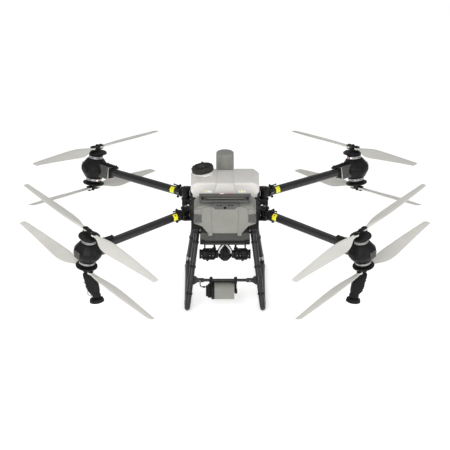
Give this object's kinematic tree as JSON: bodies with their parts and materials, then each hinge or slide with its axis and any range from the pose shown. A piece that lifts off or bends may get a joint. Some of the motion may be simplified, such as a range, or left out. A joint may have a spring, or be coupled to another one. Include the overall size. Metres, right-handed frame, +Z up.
{
  "type": "crop spraying drone",
  "caption": "Crop-spraying multirotor with a liquid tank, folding arms carrying stacked contra-rotating rotors, lift-out battery, spray heads and tube skids.",
  "frame": {"origin": "middle of the footprint, on the ground", "axes": "+X across the drone, +Y from the battery end to the nose end, +Z up"},
  "size_m": [2.604, 2.5474, 0.8155],
  "materials": {
    "carbon": "satin dark grey carbon fibre tube and moulded fittings",
    "black": "fine-grained black moulding",
    "blade": "smooth satin ivory composite",
    "tank": "translucent warm white blow-moulded plastic",
    "battery": "warm grey textured moulding",
    "handle": "mid grey moulding",
    "housing": "fine-grained grey moulding",
    "tray": "dark grey moulding",
    "cable": "matt black sheath"
  },
  "bodies": {
    "airframe": {"centre_frame": "carbon", "tank_shell": "tank", "radar_tower": "housing", "battery_bay": "tray", "pump_core": "black", "pump_left": "black", "pump_right": "black", "skid_left": "carbon", "skid_right": "carbon", "crossbar": "carbon", "radar_drum": "housing", "radar_mount": "black", "radar_cable": "cable"},
    "battery": {"battery_case": "battery", "battery_handle": "handle"},
    "cap": {"tank_cap": "black"},
    "arm_near_left": {"arm_near_left": "carbon", "pod_near_left": "black", "sprayer_near_left": "black"},
    "latch_near_left": {"latch_near_left": "black"},
    "hub_near_left_upper": {"hub_near_left_upper": "black"},
    "blade_near_left_upper_a": {"blade_near_left_upper_a": "blade"},
    "blade_near_left_upper_b": {"blade_near_left_upper_b": "blade"},
    "hub_near_left_lower": {"hub_near_left_lower": "black"},
    "blade_near_left_lower_a": {"blade_near_left_lower_a": "blade"},
    "blade_near_left_lower_b": {"blade_near_left_lower_b": "blade"},
    "atomiser_near_left": {"atomiser_near_left": "black"},
    "arm_near_right": {"arm_near_right": "carbon", "pod_near_right": "black", "sprayer_near_right": "black"},
    "latch_near_right": {"latch_near_right": "black"},
    "hub_near_right_upper": {"hub_near_right_upper": "black"},
    "blade_near_right_upper_a": {"blade_near_right_upper_a": "blade"},
    "blade_near_right_upper_b": {"blade_near_right_upper_b": "blade"},
    "hub_near_right_lower": {"hub_near_right_lower": "black"},
    "blade_near_right_lower_a": {"blade_near_right_lower_a": "blade"},
    "blade_near_right_lower_b": {"blade_near_right_lower_b": "blade"},
    "atomiser_near_right": {"atomiser_near_right": "black"},
    "arm_far_left": {"arm_far_left": "carbon", "pod_far_left": "black"},
    "latch_far_left": {"latch_far_left": "black"},
    "hub_far_left_upper": {"hub_far_left_upper": "black"},
    "blade_far_left_upper_a": {"blade_far_left_upper_a": "blade"},
    "blade_far_left_upper_b": {"blade_far_left_upper_b": "blade"},
    "hub_far_left_lower": {"hub_far_left_lower": "black"},
    "blade_far_left_lower_a": {"blade_far_left_lower_a": "blade"},
    "blade_far_left_lower_b": {"blade_far_left_lower_b": "blade"},
    "arm_far_right": {"arm_far_right": "carbon", "pod_far_right": "black"},
    "latch_far_right": {"latch_far_right": "black"},
    "hub_far_right_upper": {"hub_far_right_upper": "black"},
    "blade_far_right_upper_a": {"blade_far_right_upper_a": "blade"},
    "blade_far_right_upper_b": {"blade_far_right_upper_b": "blade"},
    "hub_far_right_lower": {"hub_far_right_lower": "black"},
    "blade_far_right_lower_a": {"blade_far_right_lower_a": "blade"},
    "blade_far_right_lower_b": {"blade_far_right_lower_b": "blade"}
  },
  "joints": [
    {"name": "battery_lift", "type": "slide", "parent": "airframe", "child": "battery", "axis": [0, 0, 1], "range_m": [0, 0.25]},
    {"name": "cap_turn", "type": "hinge", "parent": "airframe", "child": "cap", "pos_m": [-0.14, 0.11137, 0.752], "axis": [-0.1392, 0, 0.9903], "continuous": true},
    {"name": "arm_fold_near_left", "type": "hinge", "parent": "airframe", "child": "arm_near_left", "pos_m": [-0.25, -0.17863, 0.588], "axis": [0, 0, 1], "range_deg": [-90, 0]},
    {"name": "latch_turn_near_left", "type": "hinge", "parent": "arm_near_left", "child": "latch_near_left", "pos_m": [-0.29628, -0.21989, 0.624], "axis": [-0.6655, 0.7464, 0], "range_deg": [0, 100]},
    {"name": "hub_spin_near_left_upper", "type": "hinge", "parent": "arm_near_left", "child": "hub_near_left_upper", "pos_m": [-0.83657, -0.72869, 0.68848], "axis": [-0.0995, 0.1116, -0.9888], "continuous": true},
    {"name": "blade_fold_near_left_upper_a", "type": "hinge", "parent": "hub_near_left_upper", "child": "blade_near_left_upper_a", "pos_m": [-0.86235, -0.69614, 0.69475], "axis": [0.0995, -0.1116, 0.9888], "range_deg": [-86, 0]},
    {"name": "blade_fold_near_left_upper_b", "type": "hinge", "parent": "hub_near_left_upper", "child": "blade_near_left_upper_b", "pos_m": [-0.81078, -0.76125, 0.68221], "axis": [0.0995, -0.1116, 0.9888], "range_deg": [0, 70]},
    {"name": "hub_spin_near_left_lower", "type": "hinge", "parent": "arm_near_left", "child": "hub_near_left_lower", "pos_m": [-0.86343, -0.69856, 0.42152], "axis": [-0.0995, 0.1116, -0.9888], "continuous": true},
    {"name": "blade_fold_near_left_lower_a", "type": "hinge", "parent": "hub_near_left_lower", "child": "blade_near_left_lower_a", "pos_m": [-0.88922, -0.66601, 0.42779], "axis": [0.0995, -0.1116, 0.9888], "range_deg": [-86, 0]},
    {"name": "blade_fold_near_left_lower_b", "type": "hinge", "parent": "hub_near_left_lower", "child": "blade_near_left_lower_b", "pos_m": [-0.83765, -0.73111, 0.41525], "axis": [0.0995, -0.1116, 0.9888], "range_deg": [0, 70]},
    {"name": "atomiser_spin_near_left", "type": "hinge", "parent": "arm_near_left", "child": "atomiser_near_left", "pos_m": [-0.80662, -0.69443, 0.2609], "axis": [-0.1392, 0, 0.9903], "continuous": true},
    {"name": "arm_fold_near_right", "type": "hinge", "parent": "airframe", "child": "arm_near_right", "pos_m": [0.25, -0.17863, 0.588], "axis": [0, 0, -1], "range_deg": [-90, 0]},
    {"name": "latch_turn_near_right", "type": "hinge", "parent": "arm_near_right", "child": "latch_near_right", "pos_m": [0.29628, -0.21989, 0.624], "axis": [-0.6655, -0.7464, 0], "range_deg": [0, 100]},
    {"name": "hub_spin_near_right_upper", "type": "hinge", "parent": "arm_near_right", "child": "hub_near_right_upper", "pos_m": [0.83657, -0.72869, 0.68848], "axis": [-0.0995, -0.1116, 0.9888], "continuous": true},
    {"name": "blade_fold_near_right_upper_a", "type": "hinge", "parent": "hub_near_right_upper", "child": "blade_near_right_upper_a", "pos_m": [0.86235, -0.69614, 0.69475], "axis": [0.0995, 0.1116, -0.9888], "range_deg": [-86, 0]},
    {"name": "blade_fold_near_right_upper_b", "type": "hinge", "parent": "hub_near_right_upper", "child": "blade_near_right_upper_b", "pos_m": [0.81078, -0.76125, 0.68221], "axis": [0.0995, 0.1116, -0.9888], "range_deg": [0, 70]},
    {"name": "hub_spin_near_right_lower", "type": "hinge", "parent": "arm_near_right", "child": "hub_near_right_lower", "pos_m": [0.86343, -0.69856, 0.42152], "axis": [-0.0995, -0.1116, 0.9888], "continuous": true},
    {"name": "blade_fold_near_right_lower_a", "type": "hinge", "parent": "hub_near_right_lower", "child": "blade_near_right_lower_a", "pos_m": [0.88922, -0.66601, 0.42779], "axis": [0.0995, 0.1116, -0.9888], "range_deg": [-86, 0]},
    {"name": "blade_fold_near_right_lower_b", "type": "hinge", "parent": "hub_near_right_lower", "child": "blade_near_right_lower_b", "pos_m": [0.83765, -0.73111, 0.41525], "axis": [0.0995, 0.1116, -0.9888], "range_deg": [0, 70]},
    {"name": "atomiser_spin_near_right", "type": "hinge", "parent": "arm_near_right", "child": "atomiser_near_right", "pos_m": [0.80662, -0.69443, 0.2609], "axis": [0.1392, 0, 0.9903], "continuous": true},
    {"name": "arm_fold_far_left", "type": "hinge", "parent": "airframe", "child": "arm_far_left", "pos_m": [-0.25, 0.15137, 0.588], "axis": [0, 0, 1], "range_deg": [0, 50]},
    {"name": "latch_turn_far_left", "type": "hinge", "parent": "arm_far_left", "child": "latch_far_left", "pos_m": [-0.29628, 0.19264, 0.624], "axis": [0.6655, 0.7464, 0], "range_deg": [0, 100]},
    {"name": "hub_spin_far_left_upper", "type": "hinge", "parent": "arm_far_left", "child": "hub_far_left_upper", "pos_m": [-0.83657, 0.70144, 0.68848], "axis": [0.0995, 0.1116, 0.9888], "continuous": true},
    {"name": "blade_fold_far_left_upper_a", "type": "hinge", "parent": "hub_far_left_upper", "child": "blade_far_left_upper_a", "pos_m": [-0.85999, 0.66714, 0.69471], "axis": [0.0995, 0.1116, 0.9888], "range_deg": [0, 62]},
    {"name": "blade_fold_far_left_upper_b", "type": "hinge", "parent": "hub_far_left_upper", "child": "blade_far_left_upper_b", "pos_m": [-0.81314, 0.73574, 0.68225], "axis": [0.0995, 0.1116, 0.9888], "range_deg": [-94, 0]},
    {"name": "hub_spin_far_left_lower", "type": "hinge", "parent": "arm_far_left", "child": "hub_far_left_lower", "pos_m": [-0.86343, 0.67131, 0.42152], "axis": [0.0995, 0.1116, 0.9888], "continuous": true},
    {"name": "blade_fold_far_left_lower_a", "type": "hinge", "parent": "hub_far_left_lower", "child": "blade_far_left_lower_a", "pos_m": [-0.88687, 0.63701, 0.42775], "axis": [0.0995, 0.1116, 0.9888], "range_deg": [0, 62]},
    {"name": "blade_fold_far_left_lower_b", "type": "hinge", "parent": "hub_far_left_lower", "child": "blade_far_left_lower_b", "pos_m": [-0.84001, 0.7056, 0.41529], "axis": [0.0995, 0.1116, 0.9888], "range_deg": [-94, 0]},
    {"name": "arm_fold_far_right", "type": "hinge", "parent": "airframe", "child": "arm_far_right", "pos_m": [0.25, 0.15137, 0.588], "axis": [0, 0, -1], "range_deg": [0, 50]},
    {"name": "latch_turn_far_right", "type": "hinge", "parent": "arm_far_right", "child": "latch_far_right", "pos_m": [0.29628, 0.19264, 0.624], "axis": [0.6655, -0.7464, 0], "range_deg": [0, 100]},
    {"name": "hub_spin_far_right_upper", "type": "hinge", "parent": "arm_far_right", "child": "hub_far_right_upper", "pos_m": [0.83657, 0.70144, 0.68848], "axis": [-0.0995, 0.1116, 0.9888], "continuous": true},
    {"name": "blade_fold_far_right_upper_a", "type": "hinge", "parent": "hub_far_right_upper", "child": "blade_far_right_upper_a", "pos_m": [0.85999, 0.66714, 0.69471], "axis": [0.0995, -0.1116, -0.9888], "range_deg": [0, 62]},
    {"name": "blade_fold_far_right_upper_b", "type": "hinge", "parent": "hub_far_right_upper", "child": "blade_far_right_upper_b", "pos_m": [0.81314, 0.73574, 0.68225], "axis": [0.0995, -0.1116, -0.9888], "range_deg": [-94, 0]},
    {"name": "hub_spin_far_right_lower", "type": "hinge", "parent": "arm_far_right", "child": "hub_far_right_lower", "pos_m": [0.86343, 0.67131, 0.42152], "axis": [-0.0995, 0.1116, 0.9888], "continuous": true},
    {"name": "blade_fold_far_right_lower_a", "type": "hinge", "parent": "hub_far_right_lower", "child": "blade_far_right_lower_a", "pos_m": [0.88687, 0.63701, 0.42775], "axis": [0.0995, -0.1116, -0.9888], "range_deg": [0, 62]},
    {"name": "blade_fold_far_right_lower_b", "type": "hinge", "parent": "hub_far_right_lower", "child": "blade_far_right_lower_b", "pos_m": [0.84001, 0.7056, 0.41529], "axis": [0.0995, -0.1116, -0.9888], "range_deg": [-94, 0]}
  ],
  "couplings": [
    {"joint": "blade_fold_near_left_upper_a", "follows": "arm_fold_near_left", "ratio": 0.95},
    {"joint": "blade_fold_near_left_upper_b", "follows": "arm_fold_near_left", "ratio": -0.772},
    {"joint": "blade_fold_near_left_lower_a", "follows": "arm_fold_near_left", "ratio": 0.95},
    {"joint": "blade_fold_near_left_lower_b", "follows": "arm_fold_near_left", "ratio": -0.772},
    {"joint": "blade_fold_near_right_upper_a", "follows": "arm_fold_near_right", "ratio": 0.95},
    {"joint": "blade_fold_near_right_upper_b", "follows": "arm_fold_near_right", "ratio": -0.772},
    {"joint": "blade_fold_near_right_lower_a", "follows": "arm_fold_near_right", "ratio": 0.95},
    {"joint": "blade_fold_near_right_lower_b", "follows": "arm_fold_near_right", "ratio": -0.772},
    {"joint": "blade_fold_far_left_upper_a", "follows": "arm_fold_far_left", "ratio": 1.23},
    {"joint": "blade_fold_far_left_upper_b", "follows": "arm_fold_far_left", "ratio": -1.87},
    {"joint": "blade_fold_far_left_lower_a", "follows": "arm_fold_far_left", "ratio": 1.23},
    {"joint": "blade_fold_far_left_lower_b", "follows": "arm_fold_far_left", "ratio": -1.87},
    {"joint": "blade_fold_far_right_upper_a", "follows": "arm_fold_far_right", "ratio": 1.23},
    {"joint": "blade_fold_far_right_upper_b", "follows": "arm_fold_far_right", "ratio": -1.87},
    {"joint": "blade_fold_far_right_lower_a", "follows": "arm_fold_far_right", "ratio": 1.23},
    {"joint": "blade_fold_far_right_lower_b", "follows": "arm_fold_far_right", "ratio": -1.87}
  ]
}
